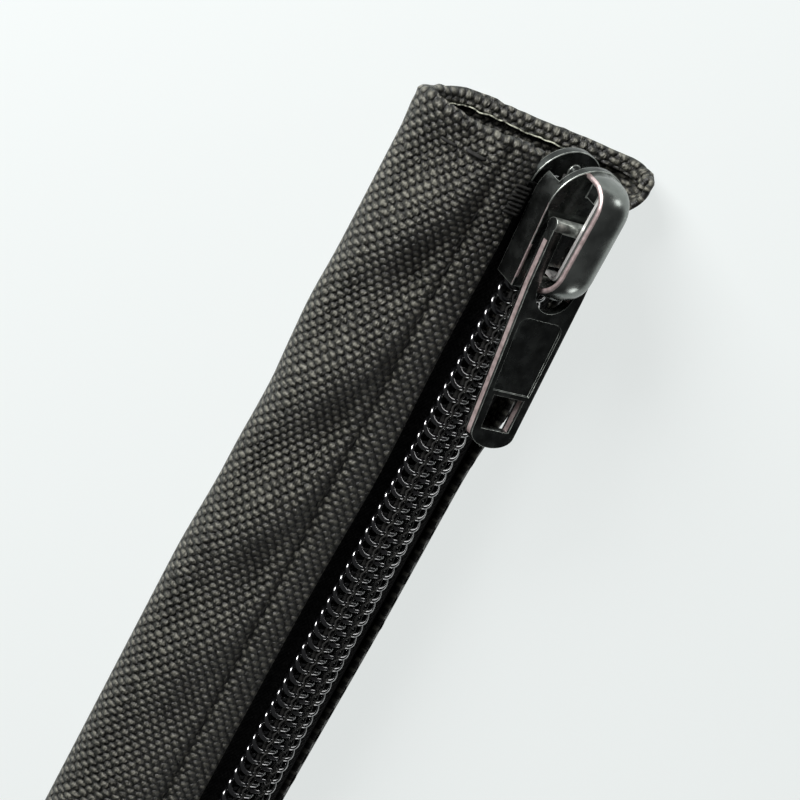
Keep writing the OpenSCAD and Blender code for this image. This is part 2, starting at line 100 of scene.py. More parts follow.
def draw_out(bm, layer, spans):
    """Draws the line of cloth out along the sleeve, in spans of a length and a number of rows."""
    row = bm.edges[:]
    for span, rows in spans:
        old = set(bm.edges)
        fresh = bmesh.ops.extrude_edge_only(bm, edges=row)["geom"]
        ends = [g for g in fresh if isinstance(g, bmesh.types.BMVert)]
        bmesh.ops.translate(bm, verts=ends, vec=(0, span, 0))
        for v in ends:
            v[layer["along"]] += span
        added = [e for e in bm.edges if e not in old]
        rails = [e for e in added if abs(e.verts[0].co.y - e.verts[1].co.y) > span / 2]
        row = [e for e in added if abs(e.verts[0].co.y - e.verts[1].co.y) < span / 2]
        bmesh.ops.subdivide_edges(bm, edges=rails, cuts=rows - 1, use_grid_fill=True)


def cloth_piece(name, bm, layer, thick):
    """Makes the strip an object, with a UV map in metres that follows the cloth."""
    weave = bm.loops.layers.uv.new("weave")
    bmesh.ops.recalc_face_normals(bm, faces=bm.faces)
    for face in bm.faces:
        face.smooth = True
        for loop in face.loops:
            loop[weave].uv = (loop.vert[layer["across"]], loop.vert[layer["along"]])
    mesh = bpy.data.meshes.new(name)
    bm.to_mesh(mesh)
    bm.free()
    piece = bpy.data.objects.new(name, mesh)
    bpy.context.scene.collection.objects.link(piece)
    wall = piece.modifiers.new("cloth thickness", "SOLIDIFY")
    wall.thickness = thick
    wall.offset = 0
    return piece


def smooth_step(low, high, x):
    """A soft rise from 0 to 1 while x goes from one value to the other."""
    t = min(1, max(0, (x - low) / (high - low)))
    return t * t * (3 - 2 * t)


def hump(x, middle, width):
    """A soft hump, 1 at its middle and almost 0 at twice its width."""
    return math.exp(-((x - middle) / width) ** 2)


bm, layer, tip, heading = new_strip(wall_x, wall_z, -wall_lean)
tip, heading = run_on(bm, layer, tip, heading, 2.352 * mm, 5)
tip, heading = bend_on(bm, layer, tip, heading, 1.6 * mm, 110, 10)
tip, heading = run_on(bm, layer, tip, heading, 14.878 * mm, 18)
tip, heading = bend_on(bm, layer, tip, heading, 7 * mm, 68.292, 10)
tip, heading = run_on(bm, layer, tip, heading, 2.735 * mm, 4)
tip, heading = bend_on(bm, layer, tip, heading, 1.9 * mm, 111.708, 20)
tip, heading = run_on(bm, layer, tip, heading, 11.6 * mm, 30)
tip, heading = bend_on(bm, layer, tip, heading, 0.375 * mm, 180, 8)
tip, heading = run_on(bm, layer, tip, heading, 6 * mm, 8)
draw_out(bm, layer, ((20 * mm, 24), (206 * mm, 150), (24 * mm, 60)))

# both ends are turned in round a soft fold, and the flap under the front edge is cut back to make room
flap_cut = 4.5 * mm
hem_turn = ((0.14, 0.2), (0.19, 0.09), (0.19, -0.09), (0.14, -0.2), (0, -1.0), (0, -1.0), (0, -1.0))
flap_ends = [f for f in bm.faces if abs(f.calc_center_median().y) > rim_y - flap_cut
             and all(v[layer["across"]] > front_end + 1.1 * mm for v in f.verts)]
bmesh.ops.delete(bm, geom=flap_ends, context="FACES")
raw_rows = []
for end in (-1, 1):
    lip = [e for e in bm.edges if all(abs(v.co.y - end * rim_y) < 0.01 * mm for v in e.verts)
           and all(0.3 * mm < v[layer["across"]] < front_end - 0.5 * mm for v in e.verts)]
    for inward, onward in hem_turn:
        fresh = bmesh.ops.extrude_edge_only(bm, edges=lip)["geom"]
        ends = {g for g in fresh if isinstance(g, bmesh.types.BMVert)}
        for v in ends:
            deep = 1 if inward else smooth_step(24 * mm, 36 * mm, v[layer["across"]]) * 0.65 + 0.35
            v.co += (inside_of(v, layer) * inward + Vector((0, end * onward * deep, 0))) * mm
            v[layer["along"]] += end * math.hypot(inward, onward * deep) * mm
        lip = [e for e in bm.edges if e.verts[0] in ends and e.verts[1] in ends]
    raw_rows.append(sorted(ends, key=lambda v: v[layer["across"]]))

# the cloth eases into slanting waves, rolls down past the seam, and droops and flares at the mouth
wave_long, wave_slant, corner_out = 18.2 * mm, 1.1, 3 * mm
noise.seed_set(5)


def front_wave(across, x, y):
    """How far the front panel stands out in its waves, and sinks in along the seam."""
    top = smooth_step(fold_end - 3 * mm, fold_end + 2 * mm, across)
    past_seam = smooth_step(seam_across - 2.5 * mm, seam_across - 0.5 * mm, across)
    phase = (y - 93 * mm - wave_slant * (x + 9 * mm)) / wave_long * 2 * math.pi
    lively = 0.35 + 0.65 * smooth_step(45 * mm, 85 * mm, abs(y))
    wave = 0.75 * lively * math.cos(phase) + 0.3 * noise.noise(Vector((across * 60, y * 45, 3.1)))
    groove = 0.42 * hump(across, seam_across, 0.55 * mm)
    part = min(1, max(0, (across - fold_end + 1.5 * mm) / (front_end - fold_end + 1.5 * mm)))
    swell = 1.2 * smooth_step(0, 0.4, part) * (1 - part ** 2.2)
    return (swell + top * (1 - past_seam) * wave - groove) * mm


def edge_roll(across):
    """How far the front panel has rolled down between the seam and its edge."""
    return 0.6 * min(1, max(0, (across - seam_across) / (front_end - seam_across))) ** 1.5 * mm


def wall_bulge(y):
    """How far the back panel's side wall stands out beside the zipper."""
    return (0.35 * smooth_step(40 * mm, 70 * mm, y) + 0.95 * hump(y, 96 * mm, 5.5 * mm)) * mm


def mouth_flare(y):
    """How far the side wall has flared out to the mouth's corner, from 0 to 1."""
    return smooth_step(rim_y - 6.5 * mm, rim_y - 1.2 * mm, y)


for v in bm.verts:
    across, x, y = v[layer["across"]], v.co.x, v.co.y
    from_mouth = rim_y - y
    v.co -= inside_of(v, layer) * front_wave(across, x, y)

    # the front edge rolls down, with its flap close under it, and bows beside the zipper
    under = smooth_step(front_end + 0.6 * mm, front_end + 1.2 * mm, across)
    v.co.z -= edge_roll(across) * (1 - under)
    v.co.z -= 0.15 * mm * under * (1 - smooth_step(48 * mm, 50 * mm, across))
    edge_way = 0.4 * hump(y, 86 * mm, 11 * mm) - 0.4 * smooth_step(12 * mm, 2 * mm, from_mouth)
    v.co.x += edge_way * smooth_step(seam_across, front_end, across) * mm

    # the folded edge draws in towards the mouth, and the back panel's wall bulges and sags
    taper = 0.5 - 0.22 * hump(y, 100 * mm, 4 * mm) + 0.3 * hump(y, 89 * mm, 4 * mm)
    taper -= 0.3 * smooth_step(5 * mm, 0, from_mouth)
    v.co.x += hump(across, 33 * mm, 4 * mm) * taper * smooth_step(68 * mm, 80 * mm, y) * mm
    v.co.x += wall_bulge(y) * (1 - smooth_step(4.5 * mm, 9 * mm, across))
    sag = 0.55 + 0.35 * noise.noise(Vector((y * 70, 0.5, 8.7)))
    v.co -= Vector((-0.1, 0, 1)) * sag * (1 - smooth_step(0, 2.2 * mm, across)) * mm

    # the rim droops unevenly, flares at the wall's corner, and is lumpy with the turned yarns
    drop = 0.65 + 0.4 * smooth_step(35 * mm, 46 * mm, across)
    drop += 0.55 * (1 - smooth_step(27 * mm, 34 * mm, across))
    drop += 0.3 * (1 - smooth_step(0, 5 * mm, across))
    drop += 0.5 * hump(across, 25 * mm, 4 * mm) + 0.5 * hump(across, 40 * mm, 2.6 * mm)
    drop += 0.25 * noise.noise(Vector((across * 160, 2.2, 5.5))) - 0.4 * hump(across, 33.5 * mm, 2.5 * mm)
    v.co.y -= drop * smooth_step(14 * mm, 0, from_mouth) * mm
    flare = mouth_flare(y) * (1 - smooth_step(1 * mm, 7 * mm, across))
    v.co += Vector((corner_out - wall_bulge(y), 0, 0.1 * mm)) * flare
    near_rim = smooth_step(rim_y - 1.6 * mm, rim_y - 0.4 * mm, abs(y))
    v.co += noise.noise_vector(Vector((across * 1500, y * 700, 2.4))) * near_rim * 0.16 * mm

raw_lines = [[(v.co.copy(), inside_of(v, layer)) for v in row if 7 * mm < v[layer["across"]] < 27 * mm]
             for row in raw_rows]
woven_sleeve = cloth_piece("woven_sleeve", bm, layer, cloth_thick)
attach(woven_sleeve, "sleeve")
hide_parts("sleeve_panel")


def new_finish(name):
    """An empty material with its shader, and a short way to add and join nodes."""
    finish = bpy.data.materials.new(name)
    finish.use_nodes = True
    tree = finish.node_tree
    shader = next(n for n in tree.nodes if n.type == "BSDF_PRINCIPLED")

    def add(kind, *feeds, **settings):
        node = tree.nodes.new("ShaderNode" + kind)
        for key, value in settings.items():
            setattr(node, key, value)
        for socket, given in zip(node.inputs, feeds):
            if isinstance(given, bpy.types.NodeSocket):
                tree.links.new(given, socket)
            elif given is not None:
                socket.default_value = given
        return node.outputs[0]

    def feed(socket, value):
        if isinstance(value, bpy.types.NodeSocket):
            tree.links.new(value, shader.inputs[socket])
        else:
            shader.inputs[socket].default_value = value

    return finish, add, feed


def shade_between(add, level, *stops):
    """A colour ramp over a level, with stops of a place and a colour."""
    ramp_out = add("ValToRGB", level)
    ramp = ramp_out.node.color_ramp
    while len(ramp.elements) < len(stops):
        ramp.elements.new(0.5)
    for element, (place, colour) in zip(ramp.elements, stops):
        element.position = place
        element.color = (*colour, 1)
    return ramp_out


def raise_relief(finish, add, level, depth, strength):
    """A bump of a level, as deep as the real relief."""
    bump = add("Bump", strength, depth)
    finish.node_tree.links.new(level, bump.node.inputs["Height"])
    return bump


# plain weave of thick yarns: rows of round nubs, each row half a nub along from the last, with painted
# shade in the gaps between them
nub_long, nub_row, bias = 1.03 * mm, 0.7 * mm, 0.07
woven_cloth, add, feed = new_finish("woven_cloth")
cloth_uv = add("UVMap", uv_map="weave")
drift = add("TexNoise", cloth_uv, None, 520.0, 3.0).node.outputs["Color"]
sway = add("VectorMath", add("VectorMath", drift, (0.5, 0.5, 0.5), operation="SUBTRACT"),
           (0.36 * mm, 0.36 * mm, 0), operation="MULTIPLY")
cloth_at = add("SeparateXYZ", add("VectorMath", cloth_uv, sway, operation="ADD")).node.outputs
askew = add("Math", cloth_at["X"], bias, cloth_at["Y"], operation="MULTIPLY_ADD")
up_rows = add("Math", askew, nub_row, operation="DIVIDE")
nub_line = add("Math", up_rows, operation="ROUND")
in_row = add("Math", up_rows, nub_line, operation="SUBTRACT")
along_row = add("Math", add("Math", cloth_at["X"], nub_long, operation="DIVIDE"),
                add("Math", nub_line, 0.5, operation="MULTIPLY"), operation="ADD")
count = add("Math", along_row, operation="ROUND")
in_nub = add("Math", along_row, count, operation="SUBTRACT")
off_x = add("Math", add("Math", in_nub, 2.08, operation="MULTIPLY"), 2.0, operation="POWER")
off_y = add("Math", add("Math", in_row, 1.75, operation="MULTIPLY"), 2.0, operation="POWER")
dome = add("Math", 1.0, add("Math", off_x, off_y, operation="ADD"), operation="SUBTRACT", use_clamp=True)
nub = add("Math", dome, 0.72, operation="POWER")
chance = add("TexWhiteNoise", add("CombineXYZ", count, nub_line, 0.0))
filament = add("TexNoise", add("Mapping", cloth_uv, None, None, (4200.0, 2100.0, 1.0)), None, 1.0, 4.0)
rough = add("Math", filament, 0.5, operation="SUBTRACT")
height = add("Math", rough, 0.9, nub, operation="MULTIPLY_ADD")
# the colour follows the relief: painted shade in the gaps, painted highlight on the nub tops and the
# fibres, and a random tone for each nub
fibre_glint_and_gap_shade = add("Math", rough, 1.3, height, operation="MULTIPLY_ADD")
nub_tone_with_painted_light = add("Math", add("Math", chance, 0.5, operation="SUBTRACT"), 0.3, fibre_glint_and_gap_shade, operation="MULTIPLY_ADD")
feed("Base Color", shade_between(add, nub_tone_with_painted_light, (0.05, (0.004, 0.004, 0.0034)),
                                 (0.6, (0.03, 0.0289, 0.0236)), (1.0, (0.12, 0.1165, 0.096))))
feed("Roughness", 0.5)
feed("Specular IOR Level", 0.4)
feed("Sheen Weight", 0.04)
feed("Sheen Roughness", 0.4)
feed("Sheen Tint", (0.9, 0.96, 0.84, 1))
feed("Normal", raise_relief(woven_cloth, add, height, 0.45 * mm, 1.0))
woven_sleeve.data.materials.append(woven_cloth)

# The two zipper tapes: narrow black polyester ribbons, woven fine and flat, that carry the coils.
# The left one lies level under the front panel, and the right one turns down inside the back panel.
zip_x, zip_z, zip_tilt = 6.35 * mm, 6.6 * mm, 25
zip_place = Matrix.Translation((zip_x, 0, zip_z)) @ Matrix.Rotation(math.radians(zip_tilt), 4, "Y")
tape_thick, tape_long = 0.46 * mm, sleeve_long - 4.6 * mm

tape_cloth, add, feed = new_finish("tape_cloth")
tape_uv = add("UVMap", uv_map="weave")
tape_at = add("SeparateXYZ", tape_uv).node.outputs
rib_turn = add("Math", tape_at["Y"], math.pi / (0.34 * mm), operation="MULTIPLY")
yarn_turn = add("Math", tape_at["X"], math.pi / (0.3 * mm), operation="MULTIPLY")
twill = add("Math", add("Math", rib_turn, operation="SINE"), add("Math", yarn_turn, operation="SINE"),
            operation="MULTIPLY")
tape_fibre = add("TexNoise", tape_uv, None, 6000.0, 2.0)
tape_height = add("Math", twill, tape_fibre, operation="ADD")
# the colour is near black, darker than the sleeve's cloth, as painted shade for the shade the tape lies in;
# it is darker still in the low parts of its twill, a painted shade in the weave's recesses
feed("Base Color", shade_between(add, tape_height, (0.1, (0.0015, 0.0015, 0.0016)),
                                 (1.2, (0.006, 0.006, 0.006))))
feed("Roughness", 0.8)
feed("Specular IOR Level", 0.2)
feed("Normal", raise_relief(tape_cloth, add, tape_height, 0.1 * mm, 0.8))

for name, inner, heading, first, bend, turn, last in (
        ("zipper_tape_left", -0.9, 155, 3.7, 2.0, -25, 5.0),
        ("zipper_tape_right", 0.9, -25, 3.3, 1.2, 45, 1.6)):
    start = zip_place @ Vector((inner * mm, 0, -0.25 * mm))
    bm, layer, tip, heading = new_strip(start.x, start.z, heading)
    tip, heading = run_on(bm, layer, tip, heading, first * mm, 6)
    tip, heading = bend_on(bm, layer, tip, heading, bend * mm, turn, 5)
    tip, heading = run_on(bm, layer, tip, heading, last * mm, 5)
    draw_out(bm, layer, ((tape_long, 120),))
    ribbon = cloth_piece("woven_" + name, bm, layer, tape_thick)
    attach(ribbon, "sleeve")
    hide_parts(name)
    ribbon.data.materials.append(tape_cloth)

# The coils: one round nylon monofilament on each tape, wound into flattened turns that interlock.
# Each turn has a lower leg, a head past the middle, an upper leg and a loop on to the next turn.
# The turns spread apart where the slider's post stands between them.
coil_pitch, wire = 1.5 * mm, 0.6 * mm
leg_half, coil_mid = 0.65 * mm, 1.0 * mm
head_at, tail_at = 0.25 * mm, 1.7075 * mm
head_steps, tail_steps = 9, 14
coil_from, coil_turns = -123.5 * mm, 163
head_spread, tail_spread = 1.5 * mm, 0.8 * mm
slider_y = 117.8 * mm


def throat(v):
    """How far the coils have parted inside the slider, from 0 to 1."""
    return smooth_step(-4.2 * mm, 2.4 * mm, v - slider_y)


def spread(u, v):
    """The move outwards of a coil's heads and tails inside the slider."""
    part = min(1, max(0, (u - head_at) / (tail_at - head_at)))
    return throat(v) * (head_spread + (tail_spread - head_spread) * part)


def draw_ring(bm, ring, vec=None, turn=None, cent=None):
    """Draws an open ring of edges on by a move or a turn, and gives the new ring."""
    fresh = bmesh.ops.extrude_edge_only(bm, edges=ring)["geom"]
    ends = [g for g in fresh if isinstance(g, bmesh.types.BMVert)]
    if vec is not None:
        bmesh.ops.translate(bm, verts=ends, vec=vec)
    if turn is not None:
        bmesh.ops.rotate(bm, verts=ends, cent=cent, matrix=turn)
    kept = set(ends)
    return [e for g in ends for e in g.link_edges if e.other_vert(g) in kept and e.verts[0] == g]


def solid_piece(name, bm, body, finishes, slot, *nodes):
    """Makes a closed shape an object that rides on a body and stands for CAD nodes."""
    bmesh.ops.recalc_face_normals(bm, faces=bm.faces)
    for face in bm.faces:
        face.smooth = True
    mesh = bpy.data.meshes.new(name)
    bm.to_mesh(mesh)
    bm.free()
    piece = bpy.data.objects.new(name, mesh)
    bpy.context.scene.collection.objects.link(piece)
    for finish in finishes:
        piece.data.materials.append(finish)
    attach(piece, body)
    if nodes:
        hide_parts(*nodes)


monofilament, add, feed = new_finish("monofilament")
wire_place = add("TexCoord").node.outputs["Object"]
scuff = add("TexNoise", wire_place, None, 900.0, 3.0)
feed("Base Color", (0.0035, 0.0035, 0.004, 1))
feed("Roughness", shade_between(add, scuff, (0.3, (0.1, 0.1, 0.1)), (0.75, (0.2, 0.2, 0.2))))
feed("Specular IOR Level", 1.0)
feed("Coat Weight", 1.0)
feed("Coat Roughness", 0.08)
feed("Coat IOR", 1.8)

for side, shift in (("left", coil_pitch / 2), ("right", 0)):
    bm = bmesh.new()
    circle = bmesh.ops.create_circle(bm, segments=10, radius=wire / 2)["verts"]
    bmesh.ops.rotate(bm, verts=circle, matrix=Matrix.Rotation(math.pi / 2, 3, "Y"), cent=(0, 0, 0))
    bmesh.ops.translate(bm, verts=circle, vec=(tail_at, 0, coil_mid - leg_half))
    ring = draw_ring(bm, bm.edges[:], vec=(head_at - tail_at, 0, 0))
    head_turn = Matrix.Rotation(math.pi / head_steps, 3, "Y")
    for _ in range(head_steps):
        ring = draw_ring(bm, ring, turn=head_turn, cent=(head_at, 0, coil_mid))
    ring = draw_ring(bm, ring, vec=(tail_at - head_at, 0, 0))
    tail_lean = Matrix.Rotation(math.atan2(coil_pitch / 2, leg_half), 3, "X")
    tail_turn = Matrix.Rotation(math.pi / tail_steps, 3, tail_lean @ Vector((0, 1, 0)))
    for _ in range(tail_steps):
        ring = draw_ring(bm, ring, turn=tail_turn, cent=(tail_at, coil_pitch / 2, coil_mid))
    bmesh.ops.spin(bm, geom=bm.verts[:] + bm.edges[:] + bm.faces[:], axis=(0, 1, 0), angle=0,
                   dvec=(0, coil_pitch, 0), steps=coil_turns - 1, use_duplicate=True)
    bmesh.ops.translate(bm, verts=bm.verts, vec=(0, coil_from + shift, 0))
    bmesh.ops.remove_doubles(bm, verts=bm.verts, dist=0.01 * mm)
    bmesh.ops.holes_fill(bm, edges=[e for e in bm.edges if e.is_boundary], sides=0)
    for v in bm.verts:
        v.co.x += spread(v.co.x, v.co.y)
    if side == "left":
        bmesh.ops.scale(bm, verts=bm.verts, vec=(-1, 1, 1))
    bmesh.ops.transform(bm, verts=bm.verts, matrix=zip_place)
    solid_piece("wound_coil_" + side, bm, "sleeve", [monofilament], "zipper_coil", "zipper_coil_" + side)

# The filler cords and the chain stitch: a twisted cord runs inside each coil, and a pair of threads
# sewn over the upper legs crosses at every turn and ties the coil down to its tape.
cord_mid, cord_spread = (head_at + tail_at) / 2, (head_spread + tail_spread) / 2
core_radius, chain_radius, chain_reach = 0.3 * mm, 0.12 * mm, 0.27 * mm
chain_long = (coil_turns - 1) * coil_pitch

sewing_thread, add, feed = new_finish("sewing_thread")
thread_place = add("TexCoord").node.outputs["Object"]
ply = add("TexNoise", thread_place, None, 3800.0, 3.0)
feed("Base Color", shade_between(add, ply, (0.3, (0.004, 0.004, 0.004)), (0.75, (0.022, 0.0215, 0.0195))))
feed("Roughness", 0.8)
feed("Specular IOR Level", 0.3)
feed("Normal", raise_relief(sewing_thread, add, ply, 0.06 * mm, 0.7))


def straight_thread(bm, sides, radius, length, rows):
    """A round thread along Y from 0, in even rows that a formula can bend."""
    bmesh.ops.create_cone(bm, cap_ends=True, segments=sides, radius1=radius, radius2=radius,
                          depth=length)
    bmesh.ops.rotate(bm, verts=bm.verts, matrix=Matrix.Rotation(-math.pi / 2, 3, "X"), cent=(0, 0, 0))
    bmesh.ops.translate(bm, verts=bm.verts, vec=(0, length / 2, 0))
    rails = [e for e in bm.edges if abs(e.verts[0].co.y - e.verts[1].co.y) > length / 2]
    bmesh.ops.subdivide_edges(bm, edges=rails, cuts=rows - 1)


for side, flip, shift in (("left", -1, coil_pitch / 2), ("right", 1, 0)):
    bm = bmesh.new()
    straight_thread(bm, 10, core_radius, chain_long + 3 * mm, 490)
    for v in bm.verts:
        twist = math.atan2(v.co.z, v.co.x) * 3 + v.co.y / (0.43 * mm)
        slim = 0.9 + 0.1 * math.cos(twist)
        y = v.co.y + coil_from
        u = flip * (cord_mid + throat(y) * cord_spread)
        v.co = Vector((u + v.co.x * slim, y, coil_mid + v.co.z * slim))
    bmesh.ops.transform(bm, verts=bm.verts, matrix=zip_place)
    solid_piece("twisted_core_" + side, bm, "sleeve", [sewing_thread], "filler_cord", "coil_core_" + side)

    strands = []
    for strand_side in (-1, 1):
        bm = bmesh.new()
        straight_thread(bm, 6, chain_radius, chain_long, (coil_turns - 1) * 8)
        for v in bm.verts:
            phase = v.co.y / coil_pitch * math.pi
            y = v.co.y + coil_from + shift
            u = cord_mid + 0.15 * mm + throat(y) * cord_spread + strand_side * chain_reach * math.sin(phase)
            w = 1.97 * mm + (0.08 * math.cos(2 * phase) + 0.05 * strand_side * math.cos(phase)) * mm
            v.co = Vector((flip * u + v.co.x, y, w + v.co.z))
        bmesh.ops.transform(bm, verts=bm.verts, matrix=zip_place)
        half = bpy.data.meshes.new("strand")
        bm.to_mesh(half)
        bm.free()
        strands.append(half)
    bm = bmesh.new()
    for half in strands:
        bm.from_mesh(half)
        bpy.data.meshes.remove(half)
    solid_piece("chain_stitch_" + side, bm, "sleeve", [sewing_thread], "sewing_thread",
                "coil_stitch_" + side)

# The seam, hem and bartack threads: thick twisted polyester, sewn through the cloth and the tapes.
# Each stitch is a short length of thread that dips into the cloth at both ends.
thread_d, stitch_long, dip = 0.36 * mm, 2.3 * mm, 0.34 * mm
front_top, front_start_x, front_edge_x = 10.235 * mm, -10.25 * mm, 2.075 * mm


def row_of_stitches(name, node, first, along, out, step, count, length, proud):
    """A row of short threads from a first place, each along one way and standing proud by the other."""
    bm = bmesh.new()
    straight_thread(bm, 7, thread_d / 2, length, 6)
    for v in bm.verts:
        part = v.co.y / length
        v.co.z += proud - thread_d / 2 - dip * (1 - math.sin(math.pi * part)) ** 2
        v.co.x += 0.12 * mm * (part - 0.5)
    seat = Matrix((along.cross(out), along, out)).transposed().to_4x4()
    seat.translation = first - along * length / 2
    bmesh.ops.transform(bm, verts=bm.verts, matrix=seat)
    bmesh.ops.spin(bm, geom=bm.verts[:] + bm.edges[:] + bm.faces[:], axis=(0, 1, 0), angle=0,
                   dvec=step, steps=count - 1, use_duplicate=True)
    for v in bm.verts:
        v.co += noise.noise_vector(v.co * 420) * 0.07 * mm
        if out.z == 1:
            across = fold_end + v.co.x - front_start_x
            v.co.z += front_wave(across, v.co.x, v.co.y) - edge_roll(across)
        else:
            bulge = wall_bulge(v.co.y)
            v.co.x += bulge + (corner_out - bulge) * mouth_flare(v.co.y)
    solid_piece(name, bm, "sleeve", [sewing_thread], "sewing_thread", node)


upward, lengthwise, sideways = Vector((0, 0, 1)), Vector((0, 1, 0)), Vector((1, 0, 0))
wall_turn = math.radians(wall_lean)
wall_way = Vector((math.cos(wall_turn), 0, -math.sin(wall_turn)))
wall_out = Vector((math.sin(wall_turn), 0, math.cos(wall_turn)))
wall_face = Vector((wall_x, 0, wall_z)) + wall_out * cloth_thick / 2
seam_first, seam_step, seam_count = -115.5 * mm, Vector((0, 3 * mm, 0)), 78
seam_x, hem_x, hem_y = front_edge_x - 4 * mm, -7.8 * mm, 121.5 * mm
tack_first, tack_step, tack_count, tack_long = 117.12 * mm, Vector((0, 0.48 * mm, 0)), 7, 2 * mm
foot_tack_first = -tack_first - (tack_count - 1) * tack_step.y
row_of_stitches("front_seam", "seam_thread_front", Vector((seam_x, seam_first, front_top)),
                lengthwise, upward, seam_step, seam_count, stitch_long, 0.1 * mm)
row_of_stitches("back_seam", "seam_thread_back", wall_face + wall_way * 1.1 * mm + lengthwise * seam_first,
                lengthwise, wall_out, seam_step, seam_count, stitch_long, 0.06 * mm)
for end, name in ((1, "mouth"), (-1, "foot")):
    row_of_stitches(name + "_hem", "hem_thread_" + name, Vector((hem_x, end * hem_y, front_top)),
                    sideways, upward, sideways * 3 * mm, 2, stitch_long, 0.16 * mm)
row_of_stitches("front_bartack", "bartack_mouth_front",
                Vector((front_edge_x - 0.9 * mm, tack_first, front_top)),
                sideways, upward, tack_step, tack_count, tack_long, 0.1 * mm)
row_of_stitches("foot_bartack", "bartack_foot", Vector((seam_x, foot_tack_first, front_top)),
                sideways, upward, tack_step, tack_count, tack_long, 0.2 * mm)
row_of_stitches("back_bartack", "bartack_mouth_back",
                wall_face + wall_way * 1.6 * mm + lengthwise * tack_first,
                wall_way, wall_out, tack_step, tack_count, tack_long, 0.08 * mm)

# The raw edges of the hems: pale fraying yarn that shows inside the mouth and the foot, where the
# turned-in cloth was cut.
frayed_yarn, add, feed = new_finish("frayed_yarn")
fray_place = add("TexCoord").node.outputs["Object"]
fray = add("TexNoise", fray_place, None, 2400.0, 3.0)
feed("Base Color", shade_between(add, fray, (0.35, (0.03, 0.032, 0.024)), (0.6, (0.42, 0.43, 0.34))))
feed("Roughness", 0.9)
for name, line in zip(("foot", "mouth"), raw_lines):
    bm = bmesh.new()
    spans = len(line) - 1
    straight_thread(bm, 5, 0.085 * mm, spans, 4 * spans)
    for v in bm.verts:
        step = min(int(v.co.y), spans - 1)
        (here, inward), (there, _) = line[step], line[step + 1]
        stray = noise.noise_vector(Vector((v.co.y * 0.9, 4.0, 1.0))) * 0.16 * mm
        on_edge = here.lerp(there, v.co.y - step)
        v.co = on_edge + inward * (0.34 * mm + v.co.z) + lengthwise * v.co.x + stray
    solid_piece(name + "_raw_edge", bm, "sleeve", [frayed_yarn], "sewing_thread")

# The slider body: die-cast zinc with a black gloss finish, worn to copper plate along its side edges.
# An upper plate with flanges, a lower plate and a post between them guide the two coils together.
slider_place = zip_place @ Matrix.Translation((0, slider_y, 0))
plate_top = 3.42 * mm
copper, painted_highlight = 1, 2

black_gloss, add, feed = new_finish("black_gloss")
metal_place = add("TexCoord").node.outputs["Object"]
grime = add("TexNoise", metal_place, None, 700.0, 4.0)
pits = add("TexNoise", metal_place, None, 2600.0, 2.0)
feed("Base Color", shade_between(add, grime, (0.35, (0.045, 0.048, 0.046)), (0.7, (0.1, 0.107, 0.102))))
feed("Metallic", 0.95)
feed("Roughness", shade_between(add, grime, (0.3, (0.2, 0.2, 0.2)), (0.75, (0.34, 0.34, 0.34))))
feed("Normal", raise_relief(black_gloss, add, pits, 0.05 * mm, 0.25))

# A paler copy of the black gloss, a painted highlight: the rounded edges of the slider and the tab, and the
# tab's bar, take it in place of the light they catch.
painted_highlight_gloss, add, feed = new_finish("painted_highlight_gloss")
painted_highlight_place = add("TexCoord").node.outputs["Object"]
highlight_mottle = add("TexNoise", painted_highlight_place, None, 1100.0, 3.0)
feed("Base Color", shade_between(add, highlight_mottle, (0.35, (0.14, 0.15, 0.14)), (0.7, (0.5, 0.53, 0.49))))
feed("Metallic", 0.8)
feed("Roughness", 0.38)

# The crown's metal is a paler copy of the black gloss, a painted reflection of the pale floor along its
# outside.
crown_painted_reflection, add, feed = new_finish("crown_painted_reflection")
crown_place = add("TexCoord").node.outputs["Object"]
crown_mottle = add("TexNoise", crown_place, None, 420.0, 4.0)
feed("Base Color", shade_between(add, crown_mottle, (0.35, (0.17, 0.182, 0.172)), (0.7, (0.3, 0.32, 0.303))))
feed("Metallic", 0.95)
feed("Roughness", shade_between(add, crown_mottle, (0.3, (0.2, 0.2, 0.2)), (0.75, (0.32, 0.32, 0.32))))

copper_edge, add, feed = new_finish("copper_edge")
edge_place = add("TexCoord").node.outputs["Object"]
rub = add("TexNoise", edge_place, None, 1500.0, 4.0)
feed("Base Color", shade_between(add, rub, (0.2, (0.3, 0.21, 0.205)), (0.6, (0.66, 0.53, 0.52))))
feed("Metallic", 0.85)
feed("Roughness", 0.42)


def rounded_copy(node, round_off):
    """A merged copy of a metal node's mesh with its corners rounded, and the faces of the rounding."""
    bm = bmesh.new()
    bm.from_mesh(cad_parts[node].data)
    bmesh.ops.remove_doubles(bm, verts=bm.verts, dist=0.002 * mm)
    bmesh.ops.dissolve_limit(bm, angle_limit=math.radians(1.5), verts=bm.verts, edges=bm.edges)
    sharp = [e for e in bm.edges if len(e.link_faces) == 2 and e.calc_face_angle() > math.radians(28)]
    rim = bmesh.ops.bevel(bm, geom=sharp, offset=round_off, offset_type="OFFSET", affect="EDGES",
                          segments=3, profile=0.5, material=-1, clamp_overlap=True,
                          loop_slide=True)["faces"]
    return bm, rim


def split_off(bm, place, spot, way, keep):
    """Cuts the faces that pass a test along a plane, given in a piece's own place."""
    chosen = [f for f in bm.faces if keep(f)]
    parts = set(chosen)
    for f in chosen:
        parts.update(f.edges)
        parts.update(f.verts)
    bmesh.ops.bisect_plane(bm, geom=list(parts), dist=0.0001 * mm, plane_co=place @ Vector(spot),
                           plane_no=place.to_3x3() @ Vector(way))
    bm.normal_update()


left_way = -(zip_place.to_3x3() @ Vector((1, 0, 0)))
plate_way = zip_place.to_3x3() @ Vector((0, 0, 1))
bm, rim = rounded_copy("slider_body", 0.22 * mm)
